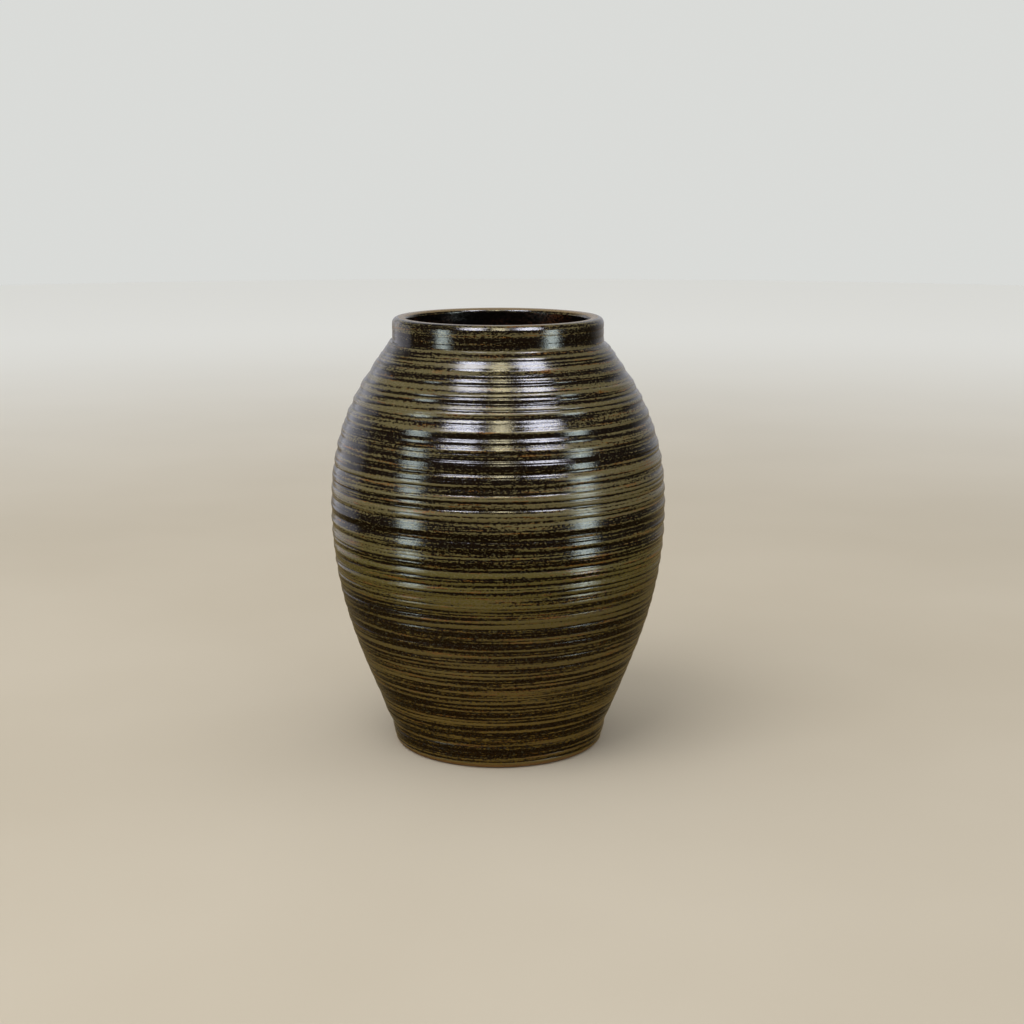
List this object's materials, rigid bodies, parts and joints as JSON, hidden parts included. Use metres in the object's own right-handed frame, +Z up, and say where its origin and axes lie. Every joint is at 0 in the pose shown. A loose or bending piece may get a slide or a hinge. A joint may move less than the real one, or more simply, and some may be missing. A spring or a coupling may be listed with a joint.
{
  "type": "stoneware vase",
  "caption": "Barrel-shaped wheel-thrown stoneware vase with an upright collar, a wide open mouth, fine horizontal throwing ridges and a plain foot band.",
  "frame": {"origin": "centre of the foot, on the surface that the vase stands on", "axes": "+Z up along the turning axis, from the foot to the mouth; X and Y are interchangeable"},
  "size_m": [0.1944, 0.1942, 0.25],
  "materials": {
    "stoneware": "bare fired clay, matt",
    "slip": "fired slip in the joints, matt",
    "outer_glaze": "olive and near-black iron glaze in broken horizontal bands, semi-gloss",
    "liner_glaze": "dark red-brown glaze, glossy"
  },
  "bodies": {
    "root": {"foot_ring": "stoneware", "foot_slip": "slip", "floor_disc": "stoneware", "base_slip": "slip", "lower_wall": "stoneware", "belly_slip": "slip", "upper_wall": "stoneware", "collar_slip": "slip", "neck_collar": "stoneware", "outer_glaze": "outer_glaze", "liner_glaze": "liner_glaze"}
  },
  "joints": []
}
